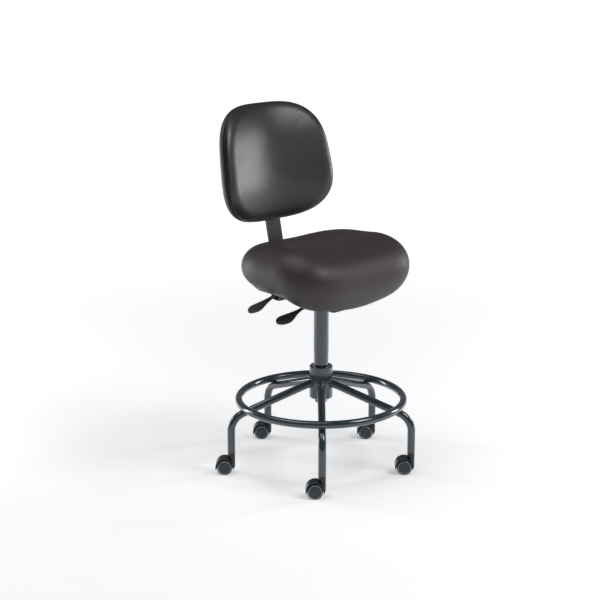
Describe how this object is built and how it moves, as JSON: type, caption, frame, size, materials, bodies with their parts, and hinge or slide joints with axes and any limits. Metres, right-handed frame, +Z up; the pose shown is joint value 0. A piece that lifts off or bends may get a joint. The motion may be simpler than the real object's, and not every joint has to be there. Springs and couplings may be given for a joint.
{
  "type": "drafting chair",
  "caption": "Tall swivel drafting chair with wrapped backrest, waterfall seat, gas column, foot ring and tube base on hooded casters.",
  "frame": {"origin": "on the floor under the column axis", "axes": "+Z up, the chair faces -Y, +X is the sitter's left"},
  "size_m": [0.6576, 0.654, 1.1881],
  "materials": {
    "base_metal": "glossy dark slate",
    "cylinder_paint": "gloss black",
    "upright_paint": "satin black powder coat",
    "black_steel": "satin black",
    "bright_steel": "zinc plated",
    "black_plastic": "moulded",
    "front_paddle_plastic": "moulded black",
    "rear_paddle_plastic": "moulded",
    "hood_plastic": "moulded black",
    "wheel_plastic": "slate nylon",
    "trim_rubber": "matte",
    "plywood": "bare plywood",
    "seat_vinyl": "brown-black vinyl",
    "back_vinyl": "charcoal vinyl"
  },
  "bodies": {
    "base": {"hub": "base_metal", "leg_1": "base_metal", "leg_2": "base_metal", "leg_3": "base_metal", "leg_4": "base_metal", "leg_5": "base_metal", "foot_ring": "base_metal", "caster_sockets": "black_plastic", "column_tube": "base_metal", "guide_bushing": "black_plastic", "thrust_bearing": "bright_steel"},
    "rod": {"piston_rod": "bright_steel", "retaining_clip": "bright_steel"},
    "lift": {"gas_cylinder": "cylinder_paint", "taper_socket": "black_steel", "control_frame": "black_steel", "control_shafts": "bright_steel", "clamp_plates": "black_steel", "tilt_springs": "bright_steel"},
    "valve": {"valve_button": "bright_steel"},
    "height_lever": {"height_lever_arm": "black_steel", "height_lever_paddle": "front_paddle_plastic"},
    "seat": {"seat_plate": "black_steel", "lock_plates": "black_steel", "back_shaft": "bright_steel", "control_cover": "black_plastic", "seat_board": "plywood", "seat_cushion": "seat_vinyl", "seat_bolts": "bright_steel"},
    "tilt_lever": {"tilt_lever_arm": "black_steel", "tilt_lever_paddle": "rear_paddle_plastic"},
    "back": {"back_bracket": "black_steel", "back_upright": "upright_paint", "bracket_bolts": "bright_steel"},
    "backrest": {"height_carrier": "black_steel", "back_board": "plywood", "back_screws": "bright_steel", "back_cushion": "back_vinyl", "back_trim": "trim_rubber", "back_shell": "back_vinyl"},
    "caster_1": {"caster_hood_1": "hood_plastic", "caster_pins_1": "bright_steel"},
    "wheel_1a": {"wheel_1a": "wheel_plastic"},
    "wheel_1b": {"wheel_1b": "wheel_plastic"},
    "caster_2": {"caster_hood_2": "hood_plastic", "caster_pins_2": "bright_steel"},
    "wheel_2a": {"wheel_2a": "wheel_plastic"},
    "wheel_2b": {"wheel_2b": "wheel_plastic"},
    "caster_3": {"caster_hood_3": "hood_plastic", "caster_pins_3": "bright_steel"},
    "wheel_3a": {"wheel_3a": "wheel_plastic"},
    "wheel_3b": {"wheel_3b": "wheel_plastic"},
    "caster_4": {"caster_hood_4": "hood_plastic", "caster_pins_4": "bright_steel"},
    "wheel_4a": {"wheel_4a": "wheel_plastic"},
    "wheel_4b": {"wheel_4b": "wheel_plastic"},
    "caster_5": {"caster_hood_5": "hood_plastic", "caster_pins_5": "bright_steel"},
    "wheel_5a": {"wheel_5a": "wheel_plastic"},
    "wheel_5b": {"wheel_5b": "wheel_plastic"}
  },
  "joints": [
    {"name": "swivel", "type": "hinge", "parent": "base", "child": "rod", "pos_m": [0, 0, 0.23], "axis": [0, 0, 1], "continuous": true},
    {"name": "seat_height", "type": "slide", "parent": "rod", "child": "lift", "axis": [0, 0, 1], "range_m": [0, 0.19]},
    {"name": "seat_tilt", "type": "hinge", "parent": "lift", "child": "seat", "pos_m": [0, -0.1, 0.59], "axis": [-1, 0, 0], "range_deg": [-3, 5], "deforming": ["tilt_springs"]},
    {"name": "back_angle", "type": "hinge", "parent": "seat", "child": "back", "pos_m": [0, 0.112, 0.59], "axis": [-1, 0, 0], "range_deg": [-1, 15]},
    {"name": "back_height", "type": "slide", "parent": "back", "child": "backrest", "axis": [0, 0.2121, 0.9773], "range_m": [-0.03, 0.06]},
    {"name": "height_lever_pull", "type": "hinge", "parent": "lift", "child": "height_lever", "pos_m": [-0.05, -0.04, 0.57845], "axis": [0, 1, 0], "range_deg": [0, 4], "stiffness_Nm_per_rad": 8, "springref_deg": -6.88},
    {"name": "valve_press", "type": "slide", "parent": "lift", "child": "valve", "axis": [0, 0, -1], "range_m": [0, 0.004], "stiffness_N_per_m": 400},
    {"name": "tilt_lever_push", "type": "hinge", "parent": "seat", "child": "tilt_lever", "pos_m": [-0.074, 0.05, 0.598], "axis": [0, -1, 0], "range_deg": [0, 5], "stiffness_Nm_per_rad": 8, "springref_deg": -6.88},
    {"name": "caster_swivel_1", "type": "hinge", "parent": "base", "child": "caster_1", "pos_m": [-0.21534, -0.22299, 0.08], "axis": [0, 0, 1], "continuous": true},
    {"name": "wheel_spin_1a", "type": "hinge", "parent": "caster_1", "child": "wheel_1a", "pos_m": [-0.23117, -0.20771, 0.025], "axis": [-0.6947, -0.7193, 0], "continuous": true},
    {"name": "wheel_spin_1b", "type": "hinge", "parent": "caster_1", "child": "wheel_1b", "pos_m": [-0.23117, -0.20771, 0.025], "axis": [-0.6947, -0.7193, 0], "continuous": true},
    {"name": "caster_swivel_2", "type": "hinge", "parent": "base", "child": "caster_2", "pos_m": [0.14554, -0.27371, 0.08], "axis": [0, 0, 1], "continuous": true},
    {"name": "wheel_spin_2a", "type": "hinge", "parent": "caster_2", "child": "wheel_2a", "pos_m": [0.12971, -0.25843, 0.025], "axis": [-0.6947, -0.7193, 0], "continuous": true},
    {"name": "wheel_spin_2b", "type": "hinge", "parent": "caster_2", "child": "wheel_2b", "pos_m": [0.12971, -0.25843, 0.025], "axis": [-0.6947, -0.7193, 0], "continuous": true},
    {"name": "caster_swivel_3", "type": "hinge", "parent": "base", "child": "caster_3", "pos_m": [0.30529, 0.05383, 0.08], "axis": [0, 0, 1], "continuous": true},
    {"name": "wheel_spin_3a", "type": "hinge", "parent": "caster_3", "child": "wheel_3a", "pos_m": [0.28946, 0.06911, 0.025], "axis": [-0.6947, -0.7193, 0], "continuous": true},
    {"name": "wheel_spin_3b", "type": "hinge", "parent": "caster_3", "child": "wheel_3b", "pos_m": [0.28946, 0.06911, 0.025], "axis": [-0.6947, -0.7193, 0], "continuous": true},
    {"name": "caster_swivel_4", "type": "hinge", "parent": "base", "child": "caster_4", "pos_m": [0.04314, 0.30698, 0.08], "axis": [0, 0, 1], "continuous": true},
    {"name": "wheel_spin_4a", "type": "hinge", "parent": "caster_4", "child": "wheel_4a", "pos_m": [0.02732, 0.32227, 0.025], "axis": [-0.6947, -0.7193, 0], "continuous": true},
    {"name": "wheel_spin_4b", "type": "hinge", "parent": "caster_4", "child": "wheel_4b", "pos_m": [0.02732, 0.32227, 0.025], "axis": [-0.6947, -0.7193, 0], "continuous": true},
    {"name": "caster_swivel_5", "type": "hinge", "parent": "base", "child": "caster_5", "pos_m": [-0.27863, 0.13589, 0.08], "axis": [0, 0, 1], "continuous": true},
    {"name": "wheel_spin_5a", "type": "hinge", "parent": "caster_5", "child": "wheel_5a", "pos_m": [-0.29445, 0.15118, 0.025], "axis": [-0.6947, -0.7193, 0], "continuous": true},
    {"name": "wheel_spin_5b", "type": "hinge", "parent": "caster_5", "child": "wheel_5b", "pos_m": [-0.29445, 0.15118, 0.025], "axis": [-0.6947, -0.7193, 0], "continuous": true}
  ],
  "couplings": [
    {"joint": "valve_press", "follows": "height_lever_pull", "m_per_rad": 0.054}
  ]
}
